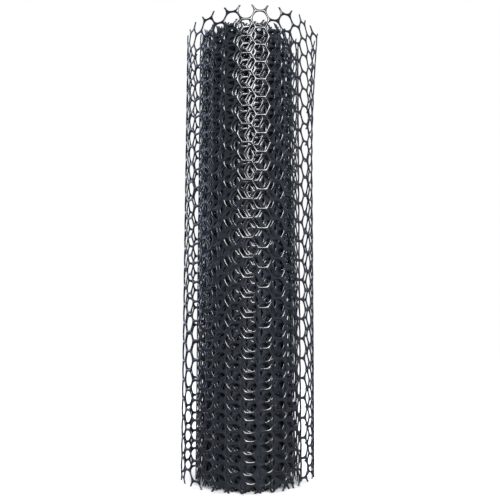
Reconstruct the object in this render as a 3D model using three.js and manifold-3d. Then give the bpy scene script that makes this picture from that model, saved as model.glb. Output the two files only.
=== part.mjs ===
// Roll of black plastic chicken wire, standing on its end. One length of extruded hexagonal net is
// wound into a tight core with an open eye, and its last turn has sprung loose around that core and
// flares towards the top. Millimetres, +Z up, seen from the front along +Y.
import * as THREE from 'three';
import { mergeVertices } from 'three/addons/utils/BufferGeometryUtils.js';
import Module from 'manifold-3d';

const wasm = await Module();
wasm.setup();

// Driving dimensions of the roll
const NET_WIDTH = 396.5;          // upright in the roll
const CORE_RADIUS = 44.7;         // outside of the tight turns
const EYE_RADIUS = 12;            // open middle that the first turn leaves
const LOOSE_RADIUS_BOTTOM = 55.6; // outside of the loose turn at its foot
const LOOSE_RADIUS_TOP = 60.7;    // outside of the loose turn at its flared top
const CORE_LEAN = -1.7;           // sideways shift of the core's top from its foot
const LOOSE_LEAN = 2.5;           // the same for the loose turn, which leans the other way
const LOOSE_RISE = 3.5;           // how far the loose turn has slid up the core
const SIDE_RISE = 4;              // how much further its top edge has slid up on the left and the right
const CORNER_FLARE = 5;           // how far the top corner of its free end bends out
const CORNER_FOOT = 0.65;         // share of the net's width below that bend
const NET_THICKNESS = 2;
const TURN_STEP = 3;              // height of the core's last turn over the one below it
const ROOT_SINK = 0.5;            // depth of the loose turn's root below the core's outside

// The loose turn, as angles that run on counter-clockwise from +X as the net unwinds
const LIFT_ANGLE = THREE.MathUtils.degToRad(270);    // leaves the core at the front
const FULL_ANGLE = THREE.MathUtils.degToRad(540);    // has reached its full radius on the left
const FRONT_ANGLE = THREE.MathUtils.degToRad(630);   // passes the front
const FREE_END_ANGLE = THREE.MathUtils.degToRad(760);  // cut end, behind on the right
const ROOT_LENGTH = 6;            // net still held inside the core's last turn

// The hexagonal mesh of the net, at real size
const MESH_PITCH = 15.8125;       // from bar to bar, up the roll
const MESH_BAR = 7.625;           // bar that runs around the roll
const MESH_RUN = 4.125;           // sideways run of a slanted strand

// Gaps of the solid: the even mesh at twice its pitch, with strands to suit
const GAP_SCALE = 2;
const STRAND_WIDTH = 3.2;

// Winding slot in both ends of the core, which stands for the gaps between its turns
const SLOT_TURNS = 3;
const SLOT_WIDTH = 2;
const SLOT_DEPTH = 12;
const SLOT_WALL = 4;              // material left at the eye and at the outside

const SEGMENTS_A_TURN = 36;
const FLATNESS = 0.01;            // faces that lie this close to one plane are drawn as one
const WELD = 1e-4;                // points that lie this close are one point
const FULL_TURN = 2 * Math.PI;

const plastic = new THREE.MeshStandardMaterial({
  color: 0x24272d,
  roughness: 0.38,
  metalness: 0,
});

// A geometry as a solid that can be joined and cut
function solidFrom(geometry) {
  const bare = geometry.clone();
  bare.deleteAttribute('normal');
  bare.deleteAttribute('uv');
  const welded = mergeVertices(bare, WELD);
  return new wasm.Manifold(new wasm.Mesh({
    numProp: 3,
    vertProperties: new Float32Array(welded.attributes.position.array),
    triVerts: new Uint32Array(welded.index.array),
  }));
}

// A solid back as a geometry
function geometryFrom(solid) {
  const mesh = solid.getMesh();
  const geometry = new THREE.BufferGeometry();
  geometry.setAttribute('position', new THREE.BufferAttribute(mesh.vertProperties, 3));
  geometry.setIndex(new THREE.BufferAttribute(mesh.triVerts, 1));
  return geometry;
}

function polar(radius, angle) {
  return new THREE.Vector2(radius * Math.cos(angle), radius * Math.sin(angle));
}

// Points of a spiral, evenly stepped from one angle and radius to another
function spiral(fromAngle, toAngle, fromRadius, toRadius) {
  const steps = Math.ceil(SEGMENTS_A_TURN * Math.abs(toAngle - fromAngle) / FULL_TURN);
  return Array.from({ length: steps + 1 }, (_, step) => {
    const along = step / steps;
    const radius = THREE.MathUtils.lerp(fromRadius, toRadius, along);
    return polar(radius, THREE.MathUtils.lerp(fromAngle, toAngle, along));
  });
}

function extrudeUp(shape, height, bottom) {
  const geometry = new THREE.ExtrudeGeometry(shape, { depth: height, bevelEnabled: false });
  return geometry.translate(0, 0, bottom);
}

// The tight turns: a spiral outline, with a step where the net leaves it and the winding slot at both ends
function windTightCore() {
  const stepFoot = CORE_RADIUS - TURN_STEP;
  const outline = new THREE.Shape(spiral(LIFT_ANGLE - FULL_TURN, LIFT_ANGLE, stepFoot, CORE_RADIUS));
  outline.holes.push(new THREE.Path(spiral(FULL_TURN, 0, EYE_RADIUS, EYE_RADIUS).slice(1)));
  const core = solidFrom(extrudeUp(outline, NET_WIDTH, 0));

  const slotInner = EYE_RADIUS + SLOT_WALL;
  const slotOuter = stepFoot - SLOT_WALL - SLOT_WIDTH;
  const slotEnd = LIFT_ANGLE + SLOT_TURNS * FULL_TURN;
  const slot = new THREE.Shape([
    ...spiral(LIFT_ANGLE, slotEnd, slotInner + SLOT_WIDTH, slotOuter + SLOT_WIDTH),
    ...spiral(slotEnd, LIFT_ANGLE, slotOuter, slotInner),
  ]);
  const topSlot = solidFrom(extrudeUp(slot, 2 * SLOT_DEPTH, NET_WIDTH - SLOT_DEPTH));
  const bottomSlot = solidFrom(extrudeUp(slot, 2 * SLOT_DEPTH, -SLOT_DEPTH));
  const upright = geometryFrom(core.subtract(topSlot).subtract(bottomSlot));
  const lean = new THREE.Matrix4().makeShear(0, 0, 0, 0, CORE_LEAN / NET_WIDTH, 0);
  return solidFrom(upright.applyMatrix4(lean));
}

// How far the net has opened from the core, 0 to 1, at an angle of the loose turn
function looseness(angle) {
  return THREE.MathUtils.smoothstep(angle, LIFT_ANGLE, FULL_ANGLE);
}

// Outside radius of the loose turn at an angle and a height of the net
function looseRadius(angle, height) {
  const up = height / NET_WIDTH;
  const nearFreeEnd = THREE.MathUtils.smoothstep(angle, FRONT_ANGLE, FREE_END_ANGLE);
  const nearTop = Math.max(0, (up - CORNER_FOOT) / (1 - CORNER_FOOT));
  const bend = CORNER_FLARE * nearFreeEnd * nearTop ** 2;
  const flared = THREE.MathUtils.lerp(LOOSE_RADIUS_BOTTOM, LOOSE_RADIUS_TOP, up) + bend;
  return THREE.MathUtils.lerp(CORE_RADIUS - ROOT_SINK, flared, looseness(angle));
}

// How far the loose turn has slid up at an angle and a height of the net
function looseRise(angle, height) {
  const side = Math.sin(angle - FRONT_ANGLE) ** 4;
  return looseness(angle) * (LOOSE_RISE + SIDE_RISE * side * height / NET_WIDTH);
}

// Sideways shift of the loose turn at an angle and a height of the net
function looseShift(angle, height) {
  return THREE.MathUtils.lerp(CORE_LEAN, LOOSE_LEAN, looseness(angle)) * height / NET_WIDTH;
}

// Angles that the loose turn reaches, one for each millimetre of net from its root inside the core
function walkLooseTurn() {
  const angles = [LIFT_ANGLE - ROOT_LENGTH / CORE_RADIUS];
  while (angles.at(-1) < FREE_END_ANGLE) {
    const angle = angles.at(-1);
    angles.push(angle + 1 / looseRadius(angle, NET_WIDTH / 2));
  }
  return angles;
}

// One mesh of the net, flat: a hexagonal ring that meets its neighbours half way through each strand
function meshRing() {
  const bar = GAP_SCALE * MESH_BAR;
  const run = GAP_SCALE * MESH_RUN;
  const rise = GAP_SCALE * MESH_PITCH / 2;
  const slant = Math.hypot(run, rise);
  const hexagon = (inset) => {
    const top = rise - inset;
    const tip = bar / 2 + run - inset * slant / rise;
    const corner = tip - top * run / rise;
    return [[tip, 0], [corner, top], [-corner, top], [-tip, 0], [-corner, -top], [corner, -top]]
      .map(([across, up]) => new THREE.Vector2(across, up));
  };
  const ring = new THREE.Shape(hexagon(0));
  ring.holes.push(new THREE.Path(hexagon(STRAND_WIDTH / 2).reverse()));
  return new THREE.ExtrudeGeometry(ring, { depth: NET_THICKNESS, bevelEnabled: false });
}

// The loose length of net, flat: rings in columns set half a pitch apart, cut off straight all round
function cutFlatNet(length) {
  const columnStep = GAP_SCALE * (MESH_BAR + MESH_RUN);
  const rowStep = GAP_SCALE * MESH_PITCH;
  const ring = meshRing();
  const rings = [];
  for (let column = 0; column * columnStep < length + columnStep; column++) {
    const stagger = column % 2 / 2;
    for (let row = 0; (row - stagger) * rowStep < NET_WIDTH + rowStep / 2; row++) {
      rings.push(solidFrom(ring.clone().translate(column * columnStep, (row - stagger) * rowStep, 0)));
    }
  }
  const blank = new THREE.BoxGeometry(length, NET_WIDTH, 2 * NET_THICKNESS);
  blank.translate(length / 2, NET_WIDTH / 2, NET_THICKNESS / 2);
  return wasm.Manifold.union(rings).intersect(solidFrom(blank)).asOriginal().simplify(FLATNESS);
}

// The flat net bent round the core: its length becomes an angle and its thickness a radius
function bendLooseTurn() {
  const angles = walkLooseTurn();
  const bent = geometryFrom(cutFlatNet(angles.length - 2));
  const position = bent.attributes.position;
  for (let index = 0; index < position.count; index++) {
    const along = position.getX(index);
    const height = position.getY(index);
    const step = Math.min(Math.floor(along), angles.length - 2);
    const angle = THREE.MathUtils.lerp(angles[step], angles[step + 1], along - step);
    const radius = looseRadius(angle, height) - NET_THICKNESS + position.getZ(index);
    const around = polar(radius, angle);
    const risen = height + looseRise(angle, height);
    position.setXYZ(index, around.x + looseShift(angle, height), around.y, risen);
  }
  return solidFrom(bent);
}

// The roll stands with the middle of its foot at the origin
const rollGeometry = geometryFrom(windTightCore().add(bendLooseTurn()));
rollGeometry.computeBoundingBox();
const middle = rollGeometry.boundingBox.getCenter(new THREE.Vector3());
rollGeometry.translate(-middle.x, -middle.y, 0);
rollGeometry.computeVertexNormals();

const netRoll = new THREE.Mesh(rollGeometry, plastic);
netRoll.name = 'net_roll';

const part = new THREE.Group();
part.add(netRoll);

export default part;
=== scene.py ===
import math

import bmesh
import bpy
import numpy as np
from mathutils import Matrix, Vector


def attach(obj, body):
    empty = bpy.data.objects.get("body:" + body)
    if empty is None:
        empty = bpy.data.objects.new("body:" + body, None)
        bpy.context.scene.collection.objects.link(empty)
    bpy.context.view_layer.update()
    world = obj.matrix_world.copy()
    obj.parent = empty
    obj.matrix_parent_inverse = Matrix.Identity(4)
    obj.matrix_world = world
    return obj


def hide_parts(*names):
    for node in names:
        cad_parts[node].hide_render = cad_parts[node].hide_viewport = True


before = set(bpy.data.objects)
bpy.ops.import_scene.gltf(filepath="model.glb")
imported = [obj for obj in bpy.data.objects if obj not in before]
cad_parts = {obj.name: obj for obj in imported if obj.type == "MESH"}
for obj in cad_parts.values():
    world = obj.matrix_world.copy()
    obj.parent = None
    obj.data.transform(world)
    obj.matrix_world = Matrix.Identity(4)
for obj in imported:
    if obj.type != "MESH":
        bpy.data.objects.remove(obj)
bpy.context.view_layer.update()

# The tight turns of one length of black net, 0.4 m wide and 3 m long, wound from an open eye outwards,
# counter-clockwise seen from above. Its strands are extruded and fused while hot: bars run along the net,
# slanted strands link them into hexagons, and stubs stand out where both long edges are cut.
MM = 0.001
NET_WIDTH = 398.5 * MM
PITCH = 15.83 * MM         # from bar to bar, across the net
BAR = 8.01 * MM            # length of a bar, along the net
RUN = 4.15 * MM            # how far a slanted strand goes along the net
COLUMN = BAR + RUN
FIRST_BAR = 5.5 * MM       # height of the lowest bars that the cut has left
STRAND = 3.2 * MM          # width of a strand where it meets others, of which the rounding takes a quarter
DEPTH_SHARE = 0.56         # a strand is flatter than it is wide
WAIST = 0.65               # how far a strand is drawn in between its ends
PLAIN_SHARE = 0.78         # width of a strand that isn't drawn in, which looks as wide as one that is
BAR_SWELL = 0.25 * MM      # a bar is this much wider on each side
SWELL_REACH = BAR / 2 + RUN / 4  # from the middle of the bar, along it
WELD = 0.05 * MM           # corners of neighbouring openings that lie closer than this are one
LONG_EDGE = 1.5 * STRAND   # edges longer than this run along a strand, not across one
ON_LINE = 0.1 * STRAND     # points closer than this to a strand's middle count as lying on it
ON_CUT = 0.001 * MM        # and points closer than this to a cut as lying on that


def flat_net(first, last, loops):
    """A flat length of net from one column to another: X along it, Y across it, Z out of its face."""
    rows = math.ceil(NET_WIDTH / PITCH) + 1
    tips_along = Matrix.Rotation(math.radians(90), 4, "Z")
    net = bmesh.new()
    for column in range(first - 1, last + 2):
        stagger = (column % 2) / 2
        for row in range(rows + 1):
            ring = bmesh.ops.create_circle(net, cap_ends=True, segments=6, radius=1, matrix=tips_along)
            for corner in ring["verts"]:
                tip = abs(corner.co.y) < 0.5
                corner.co.x = math.copysign(BAR / 2 + RUN * tip, corner.co.x)
                corner.co.y = 0 if tip else math.copysign(PITCH / 2, corner.co.y)
            middle = FIRST_BAR + (row - 0.5 + stagger) * PITCH
            bmesh.ops.translate(net, vec=(column * COLUMN, middle, 0), verts=ring["verts"])
    bmesh.ops.remove_doubles(net, verts=net.verts, dist=WELD)
    width = STRAND if loops else PLAIN_SHARE * STRAND
    bmesh.ops.wireframe(net, faces=net.faces[:], thickness=width, offset=0,
                        use_replace=True, use_boundary=True, use_even_offset=True)
    if loops:
        along = [edge for edge in net.edges if edge.calc_length() > LONG_EDGE]
        cut = bmesh.ops.subdivide_edges(net, edges=along, cuts=loops)
        middles = [item for item in cut["geom_inner"] if isinstance(item, bmesh.types.BMVert)]
        bmesh.ops.smooth_vert(net, verts=middles, factor=WAIST, use_axis_x=True, use_axis_y=True)
    for vert in net.verts:
        vert.co.z *= DEPTH_SHARE
        column = round(vert.co.x / COLUMN)
        above = (vert.co.y - FIRST_BAR) / PITCH - (column % 2) / 2
        offset = (above - round(above)) * PITCH
        on_bar = abs(vert.co.x - column * COLUMN) < SWELL_REACH and abs(offset) < STRAND
        at_side = abs(offset) > ON_LINE and abs(vert.co.z) < ON_LINE
        if on_bar and at_side:
            vert.co.y += math.copysign(BAR_SWELL, offset)
    # The strands' cut ends are flat, so their rims stay sharp when the net is rounded.
    crease = net.edges.layers.float.new("crease_edge")
    cuts = [((first * COLUMN, 0, 0), (-1, 0, 0)), ((last * COLUMN, 0, 0), (1, 0, 0)),
            ((0, 0, 0), (0, -1, 0)), ((0, NET_WIDTH, 0), (0, 1, 0))]
    for point, outwards in cuts:
        everything = net.verts[:] + net.edges[:] + net.faces[:]
        bmesh.ops.bisect_plane(net, geom=everything, dist=ON_CUT, plane_co=point, plane_no=outwards,
                               clear_outer=True)
        rim = [edge for edge in net.edges if edge.is_boundary]
        bmesh.ops.holes_fill(net, edges=rim, sides=0)
        for edge in rim:
            edge[crease] = 1
    return net


AXIS_FOOT = Vector((-4.48, 2.2, 0)) * MM  # where the axis of the winding meets the floor
CORE_RADIUS = 43.9 * MM    # radii are those of the net's middle surface
EYE_RADIUS = 12.75 * MM
TURN_STEP = 2.6 * MM       # from turn to turn
OUTER_STEP = 1.935 * MM    # the outer turns lie closer, each one column of mesh longer than the one inside
OUTER_TURNS = 8
CORE_LEAN = -1.7 * MM      # sideways shift of the core's top from its foot
CORE_RISE = 2.5 * MM       # how far the tight turns stand up on the left and the right
COLUMN_LEAN = -8.6 * MM    # how far the columns lean along the net, over its width
COLUMN_BOW = -1.0 * MM     # how far they bow along the net, half way up it
COLUMN_START = 17.5 * MM   # where the first column of the loose turn stands, from where that turn begins
LIFT_ANGLE = math.radians(270)   # the loose turn begins here, at the front, still on the tight turns
FRONT_ANGLE = math.radians(630)  # and here it has come round to the front
WALK_STEPS = 20000         # steps in which the length of a winding is added up


def walk(radius_at, angles):
    """Length of net at each of the angles of a winding, from the first one."""
    steps = radius_at((angles[1:] + angles[:-1]) / 2) * np.diff(angles)
    return np.concatenate([[0], np.cumsum(steps)])


def reach_along(along, up):
    """Where a point of the net lies along the winding, with the lean and the bow of its column."""
    return along + COLUMN_START + COLUMN_LEAN * (0.5 - up) + COLUMN_BOW * 4 * up * (1 - up)


def tight_radius(angle):
    """Radius of the tight turns at an angle of the winding."""
    turns_in = (LIFT_ANGLE - angle) / (2 * math.pi)
    outer = np.minimum(turns_in, OUTER_TURNS)
    return CORE_RADIUS - OUTER_STEP * outer - TURN_STEP * (turns_in - outer)


turns = OUTER_TURNS + (CORE_RADIUS - OUTER_STEP * OUTER_TURNS - EYE_RADIUS) / TURN_STEP
tight_angles = np.linspace(LIFT_ANGLE - turns * 2 * math.pi, LIFT_ANGLE + math.pi / 2, WALK_STEPS)
tight_walk = walk(tight_radius, tight_angles)
tight_walk -= np.interp(LIFT_ANGLE, tight_angles, tight_walk)


def place_tight(along, height, out):
    """Points of the flat net on the tight turns."""
    up = height / NET_WIDTH
    angle = np.interp(reach_along(along, up), tight_walk, tight_angles)
    radius = tight_radius(angle) + out
    x = AXIS_FOOT.x + radius * np.cos(angle) + CORE_LEAN * up
    y = AXIS_FOOT.y + radius * np.sin(angle)
    rise = CORE_RISE * np.sin(angle - FRONT_ANGLE) ** 2
    return np.column_stack([x, y, height + rise])


def linear(colour):
    """An sRGB hex colour as linear red, green, blue and alpha."""
    parts = [int(colour[i:i + 2], 16) / 255 for i in (1, 3, 5)]
    return [p / 12.92 if p <= 0.04045 else ((p + 0.055) / 1.055) ** 2.4 for p in parts] + [1.0]


def add_node(tree, kind, links={}, **settings):
    """A node with its settings, and each socket in links fed by a value or another node's output."""
    node = tree.nodes.new(kind)
    for setting, value in settings.items():
        setattr(node, setting, value)
    for socket, source in links.items():
        if isinstance(source, bpy.types.NodeSocket):
            tree.links.new(source, node.inputs[socket])
        else:
            node.inputs[socket].default_value = source
    return node


# Polyethylene with carbon black, as it comes from the die: a satin black with a faint blue tint, whose
# gloss changes a little along each strand.
MOTTLE_SIZE = 14 * MM      # of the patches of tint
SCUFF_SIZE = 4 * MM        # of the changes in gloss
SMOOTHEST = 0.11           # roughness where it is glossiest
ROUGHEST = 0.2             # and where it is dullest
WAVE_DEPTH = 0.15 * MM     # of the faint waves that the die leaves
WAVE_STRENGTH = 0.04
POLYETHYLENE_IOR = 1.52


def extruded_plastic(name, dark, light):
    """The material of the net, with its tint between two colours."""
    material = bpy.data.materials.new(name)
    material.use_nodes = True
    tree = material.node_tree
    tree.nodes.clear()
    place = add_node(tree, "ShaderNodeTexCoord").outputs["Object"]
    mottle = add_node(tree, "ShaderNodeTexNoise", {
        "Vector": place, "Scale": 1 / MOTTLE_SIZE, "Detail": 3.0})
    tint = add_node(tree, "ShaderNodeValToRGB", {"Fac": mottle.outputs["Fac"]})
    tint.color_ramp.elements[0].color = linear(dark)
    tint.color_ramp.elements[1].color = linear(light)
    scuff = add_node(tree, "ShaderNodeTexNoise", {
        "Vector": place, "Scale": 1 / SCUFF_SIZE, "Detail": 2.0})
    gloss = add_node(tree, "ShaderNodeMapRange", {
        "Value": scuff.outputs["Fac"], "To Min": SMOOTHEST, "To Max": ROUGHEST})
    waves = add_node(tree, "ShaderNodeBump", {
        "Height": scuff.outputs["Fac"], "Strength": WAVE_STRENGTH, "Distance": WAVE_DEPTH})
    plastic = add_node(tree, "ShaderNodeBsdfPrincipled", {
        "Base Color": tint.outputs["Color"], "Roughness": gloss.outputs["Result"],
        "Normal": waves.outputs["Normal"], "IOR": POLYETHYLENE_IOR})
    add_node(tree, "ShaderNodeOutputMaterial", {"Surface": plastic.outputs["BSDF"]})
    return material


# The tight turns are painted a lighter black than the loose turn. This is painted light: it lifts the shade
# seen inside their openings.
painted_lighter_plastic = extruded_plastic("black polyethylene painted lighter", "#22262b", "#30343b")


def lay_net(name, first, last, loops, place_on, material):
    """A length of the net as a piece of the roll, bent to where place_on puts its points."""
    net = flat_net(first, last, loops)
    mesh = bpy.data.meshes.new(name)
    net.to_mesh(mesh)
    net.free()
    flat = np.empty(3 * len(mesh.vertices))
    mesh.vertices.foreach_get("co", flat)
    mesh.vertices.foreach_set("co", place_on(*flat.reshape(-1, 3).T).ravel())
    mesh.polygons.foreach_set("use_smooth", [True] * len(mesh.polygons))
    mesh.materials.append(material)
    piece = bpy.data.objects.new(name, mesh)
    bpy.context.scene.collection.objects.link(piece)
    rounding = piece.modifiers.new("rounding", "SUBSURF")
    rounding.levels = rounding.render_levels = 1
    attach(piece, "root")
    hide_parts("net_roll")


HIDDEN = 0                 # loops cut across each strand of the turns that hardly show, which have no waist
SEEN = 1                   # and of the turns that show
inner_column = math.ceil((tight_walk[0] - COLUMN_START - COLUMN_LEAN / 2) / COLUMN) + 1
last_turn_column = round(np.interp(LIFT_ANGLE - 2 * math.pi, tight_angles, tight_walk) / COLUMN)
third = (last_turn_column - inner_column) // 3
lay_net("inner_turns", inner_column, inner_column + third, HIDDEN, place_tight, painted_lighter_plastic)
lay_net("middle_turns", inner_column + third, inner_column + 2 * third, HIDDEN, place_tight, painted_lighter_plastic)
lay_net("outer_turns", inner_column + 2 * third, last_turn_column, HIDDEN, place_tight, painted_lighter_plastic)
lay_net("last_tight_turn", last_turn_column, 0, SEEN, place_tight, painted_lighter_plastic)

# The loose turn: the last length of the same net, sprung open around the tight turns. It leaves them on
# the right, goes once round, flares towards the top and has slid up a little. It ends in a cut, behind on
# the right.
OPEN_ANGLE = math.radians(320)   # where it begins to leave the tight turns
FULL_ANGLE = math.radians(440)   # where it stands clear of them
FOOT_LAG = math.radians(12)      # how much later its foot opens than its top
FREE_END_ANGLE = math.radians(752)
LOOSE_RADIUS_FOOT = 55.9 * MM
LOOSE_RADIUS_TOP = 58.8 * MM
CORNER_FLARE = 6.0 * MM    # how far the top corner of its free end bends out
CORNER_FOOT = 0.65         # share of the net's width below that bend
CORNER_SPAN = (math.radians(68), math.radians(88))  # angles past the front over which the bend sets in
EDGE_CURL = 2.0 * MM       # how far its top edge curls in at the front right
CURL_FOOT = 0.9            # share of the net's width below that curl
CURL_SPAN = (math.radians(45), math.radians(58))    # angles past the front over which the curl sets in
END_CURL = 5.5 * MM        # how far its free end curls in, above the foot
END_SPAN = (math.radians(80), math.radians(122))    # angles past the front over which that sets in
END_SHARES = (0.15, 0.5)   # and shares of the net's width
LOOSE_LEAN = 1.9 * MM      # sideways shift of its top from its foot
LOOSE_RISE = 4.1 * MM      # how far it has slid up the tight turns
ROW_WAVE = 1.4 * MM        # how far its rows are drawn down below the middle and up above it
RIGHT_RISE = 5.6 * MM      # how much further its top edge has slid up on the right
LEFT_DROP = 2.1 * MM       # how much less it has slid up on the left
FOOT_SLOPE = 0.4 * MM      # how much higher its foot stands on the right, and lower on the left
SLOPE_SHARE = 0.5          # share of the net's width over which that fades
FOOT_TRIM = 4.0 * MM       # how much shorter the stubs at its foot are cut at the sides than at the front
TRIM_SHARE = 0.025         # share of the net's width that those stubs take up
TRIM_FRONT = 0.4           # share of that trim by which the stubs at the front are longer
END_DROP = 4.3 * MM        # how far its free end has sunk to the floor
DROP_SPAN = (math.radians(66), math.radians(104))   # angles past the front over which it sinks


def eased(value, start, end):
    """0 before start, 1 after end, and a smooth step between them."""
    share = np.clip((value - start) / (end - start), 0, 1)
    return share * share * (3 - 2 * share)


def looseness(angle, up):
    """How far the net has opened from the tight turns, 0 to 1."""
    return eased(angle - FOOT_LAG * (1 - up), OPEN_ANGLE, FULL_ANGLE)


def loose_radius(angle, up):
    """Radius of the loose turn at an angle of the winding and a share of the net's width."""
    past_front = angle - FRONT_ANGLE
    near_corner = eased(past_front, *CORNER_SPAN)
    flare = CORNER_FLARE * near_corner * np.maximum((up - CORNER_FOOT) / (1 - CORNER_FOOT), 0) ** 2
    front_right = eased(past_front, *CURL_SPAN) * (1 - near_corner)
    curl = EDGE_CURL * front_right * np.maximum((up - CURL_FOOT) / (1 - CURL_FOOT), 0) ** 2
    curl += END_CURL * eased(past_front, *END_SPAN) * eased(up, *END_SHARES)
    open_radius = LOOSE_RADIUS_FOOT + (LOOSE_RADIUS_TOP - LOOSE_RADIUS_FOOT) * up + flare - curl
    tight = tight_radius(np.minimum(angle, OPEN_ANGLE))
    return tight + (open_radius - tight) * looseness(angle, up)


loose_angles = np.linspace(LIFT_ANGLE - math.pi / 2, FREE_END_ANGLE, WALK_STEPS)
foot_walk = walk(lambda angle: loose_radius(angle, 0), loose_angles)
foot_walk -= np.interp(LIFT_ANGLE, loose_angles, foot_walk)
top_walk = walk(lambda angle: loose_radius(angle, 1), loose_angles)
top_walk -= np.interp(LIFT_ANGLE, loose_angles, top_walk)


def place_loose(along, height, out):
    """Points of the flat net on the loose turn."""
    up = height / NET_WIDTH
    reach = reach_along(along, up)
    foot_angle = np.interp(reach, foot_walk, loose_angles)
    top_angle = np.interp(reach, top_walk, loose_angles)
    angle = foot_angle + (top_angle - foot_angle) * up
    radius = loose_radius(angle, up) + out
    loose = looseness(angle, up)
    shift = (CORE_LEAN + (LOOSE_LEAN - CORE_LEAN) * loose) * up
    x = AXIS_FOOT.x + radius * np.cos(angle) + shift
    y = AXIS_FOOT.y + radius * np.sin(angle)
    side = np.sin(angle - FRONT_ANGLE)
    wave = ROW_WAVE * np.sin(2 * math.pi * up)
    tilt = RIGHT_RISE * (up * np.maximum(side, 0)) ** 2 - LEFT_DROP * np.minimum(side, 0) ** 2
    drop = END_DROP * eased(angle - FRONT_ANGLE, *DROP_SPAN)
    trim = FOOT_TRIM * (side ** 2 - TRIM_FRONT) * np.maximum(1 - up / TRIM_SHARE, 0) ** 2
    slope = FOOT_SLOPE * side * np.maximum(1 - up / SLOPE_SHARE, 0)
    rise = LOOSE_RISE - wave + tilt - drop + trim + slope
    return np.column_stack([x, y, height + rise * loose])


free_end_column = math.floor((foot_walk[-1] - COLUMN_START - COLUMN_LEAN / 2) / COLUMN)
# This turn keeps the plastic's own deeper black, while the tight turns are painted lighter.
loose_turn_plastic = extruded_plastic("black polyethylene", "#13151a", "#1f2227")
lay_net("loose_turn", 0, free_end_column, SEEN, place_loose, loose_turn_plastic)

# The floor: a wide sheet of white paper under the roll. To the camera it glows as white as the wall behind,
# with a faint painted shade close to the roll, where ambient occlusion dims the glow. In what the plastic
# mirrors it is a mid grey.
FLOOR_HALF = 6.0           # half its side, in metres
PAINTED_SHADE_REACH = 40 * MM      # how far from the roll that shade begins
PAPER_GLOW = 0.75
floor_mesh = bpy.data.meshes.new("floor")
floor_build = bmesh.new()
bmesh.ops.create_grid(floor_build, x_segments=1, y_segments=1, size=FLOOR_HALF)
floor_build.to_mesh(floor_mesh)
floor_build.free()
floor = bpy.data.objects.new("floor", floor_mesh)
bpy.context.scene.collection.objects.link(floor)
paper = bpy.data.materials.new("white paper")
paper.use_nodes = True
tree = paper.node_tree
tree.nodes.clear()
ray = add_node(tree, "ShaderNodeLightPath")
sheet = add_node(tree, "ShaderNodeBsdfDiffuse", {"Color": linear("#d8d8d8")})
mirrored = add_node(tree, "ShaderNodeBsdfDiffuse", {"Color": linear("#888888")})
# Painted shade: ambient occlusion darkens the paper's glow close to the roll.
painted_shade_occlusion = add_node(tree, "ShaderNodeAmbientOcclusion", {"Distance": PAINTED_SHADE_REACH}, samples=8)
glow = add_node(tree, "ShaderNodeEmission", {"Color": painted_shade_occlusion.outputs["Color"], "Strength": PAPER_GLOW})
lit = add_node(tree, "ShaderNodeAddShader", {0: sheet.outputs[0], 1: glow.outputs[0]})
seen = add_node(tree, "ShaderNodeMixShader", {
    0: ray.outputs["Is Camera Ray"], 1: mirrored.outputs[0], 2: lit.outputs[0]})
add_node(tree, "ShaderNodeOutputMaterial", {"Surface": seen.outputs[0]})
floor_mesh.materials.append(paper)

# The light: a cool room with one bright wall, behind the roll on the left, and a fill that grows to the
# right. One large soft box stands in front and above, a little to the right. The camera sees a white
# backdrop.
BRIGHT_SIDE = Vector((-0.7, 0.68, 0.2)).normalized()
WALL_EDGE = 0.65           # cosine of the angle from the middle of the bright wall to its edge
WALL_MIDDLE = 0.98         # and to where it is brightest
WALL_STRENGTH = 2.0
FILL_LEFT = 0.08
FILL_RIGHT = 0.56
world = bpy.data.worlds.new("studio")
bpy.context.scene.world = world
world.use_nodes = True
tree = world.node_tree
tree.nodes.clear()
direction = add_node(tree, "ShaderNodeTexCoord").outputs["Generated"]
facing = add_node(tree, "ShaderNodeVectorMath", {0: direction, 1: BRIGHT_SIDE}, operation="DOT_PRODUCT")
wall = add_node(tree, "ShaderNodeMapRange", {
    "Value": facing.outputs["Value"], "From Min": WALL_EDGE, "From Max": WALL_MIDDLE,
    "To Min": 0.0, "To Max": WALL_STRENGTH}, interpolation_type="SMOOTHSTEP")
across = add_node(tree, "ShaderNodeVectorMath", {0: direction, 1: (1, 0, 0)}, operation="DOT_PRODUCT")
fill = add_node(tree, "ShaderNodeMapRange", {
    "Value": across.outputs["Value"], "From Min": -1.0, "From Max": 1.0,
    "To Min": FILL_LEFT, "To Max": FILL_RIGHT})
both = add_node(tree, "ShaderNodeMath", {
    0: wall.outputs["Result"], 1: fill.outputs["Result"]}, operation="ADD")
room = add_node(tree, "ShaderNodeBackground", {
    "Color": linear("#d6e4ff"), "Strength": both.outputs["Value"]})
backdrop = add_node(tree, "ShaderNodeBackground", {"Color": linear("#ffffff"), "Strength": 1.0})
ray = add_node(tree, "ShaderNodeLightPath")
seen = add_node(tree, "ShaderNodeMixShader", {
    0: ray.outputs["Is Camera Ray"], 1: room.outputs[0], 2: backdrop.outputs[0]})
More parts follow.
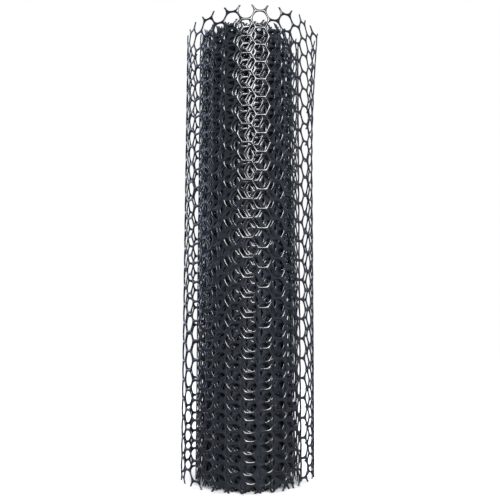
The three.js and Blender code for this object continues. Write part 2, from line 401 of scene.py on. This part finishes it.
add_node(tree, "ShaderNodeOutputWorld", {"Surface": seen.outputs[0]})

SOFT_BOX_WIDTH = 1.8
SOFT_BOX_HEIGHT = 1.25
SOFT_BOX_WATTS = 185
SOFT_BOX_DISTANCE = 3.0
SOFT_BOX_AIM = Vector((0, 0, 0.25))
AZIMUTH = math.radians(11)       # to the right of the camera
ELEVATION = math.radians(29)
soft_box_light = bpy.data.lights.new("soft_box", "AREA")
soft_box_light.shape = "RECTANGLE"
soft_box_light.size = SOFT_BOX_WIDTH
soft_box_light.size_y = SOFT_BOX_HEIGHT
soft_box_light.energy = SOFT_BOX_WATTS
soft_box = bpy.data.objects.new("soft_box", soft_box_light)
bpy.context.scene.collection.objects.link(soft_box)
towards_box = Vector((
    math.sin(AZIMUTH) * math.cos(ELEVATION), -math.cos(AZIMUTH) * math.cos(ELEVATION), math.sin(ELEVATION)))
soft_box.location = SOFT_BOX_AIM + SOFT_BOX_DISTANCE * towards_box
soft_box.rotation_euler = (soft_box.location - SOFT_BOX_AIM).to_track_quat("Z", "Y").to_euler()

# The camera: it stands in front of the roll, below the middle of its height, and looks up a little.
# Its place and its lens are fitted to the rows and the outline of the roll in the photo.
CAMERA_SIDE = 2.15 * MM    # to the right of the roll's axis
CAMERA_DISTANCE = 540.8 * MM
CAMERA_HEIGHT = 109.7 * MM
LOOKS_UP = 9.37            # degrees above level
SENSOR = 36                # width, in millimetres as the camera takes it
FOCAL_SHARE = 609.4 / 500  # focal length over the sensor's width
camera_data = bpy.data.cameras.new("camera")
camera_data.sensor_width = SENSOR
camera_data.lens = SENSOR * FOCAL_SHARE
camera_data.clip_start = 0.01
camera = bpy.data.objects.new("camera", camera_data)
camera.location = (AXIS_FOOT.x + CAMERA_SIDE, AXIS_FOOT.y - CAMERA_DISTANCE, CAMERA_HEIGHT)
camera.rotation_euler = (math.radians(90 + LOOKS_UP), 0, 0)
bpy.context.scene.collection.objects.link(camera)
bpy.context.scene.camera = camera
bpy.context.scene.view_settings.view_transform = "Standard"
